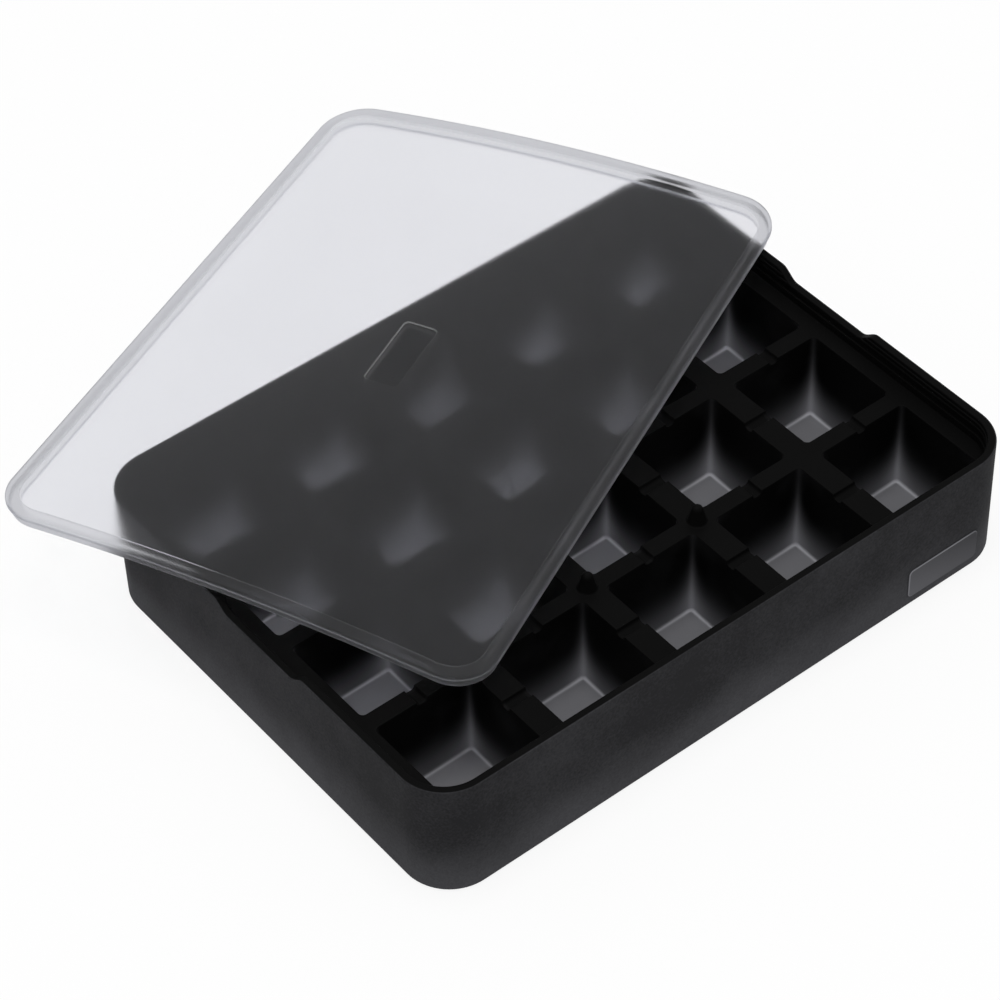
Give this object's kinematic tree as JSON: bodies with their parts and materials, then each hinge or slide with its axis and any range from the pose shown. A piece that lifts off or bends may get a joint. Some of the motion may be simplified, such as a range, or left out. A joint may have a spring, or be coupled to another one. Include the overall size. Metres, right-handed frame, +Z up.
{
  "type": "ice cube tray",
  "caption": "Soft moulded ice cube tray with square cells in a grid inside a raised rim, and a loose translucent lid lying askew across it.",
  "frame": {"origin": "middle of the tray's flat base, on the web between the two middle rows of cells", "axes": "+X along the tray's long side, +Y along its short side away from the wall with the label pad, +Z up out of the cells"},
  "size_m": [0.2281, 0.2323, 0.0453],
  "materials": {
    "tray_silicone": "matte charcoal silicone with a faint dusty bloom",
    "lid_silicone": "milky translucent silicone, satin"
  },
  "bodies": {
    "root": {"tray": "tray_silicone", "lid": "lid_silicone"}
  },
  "joints": []
}
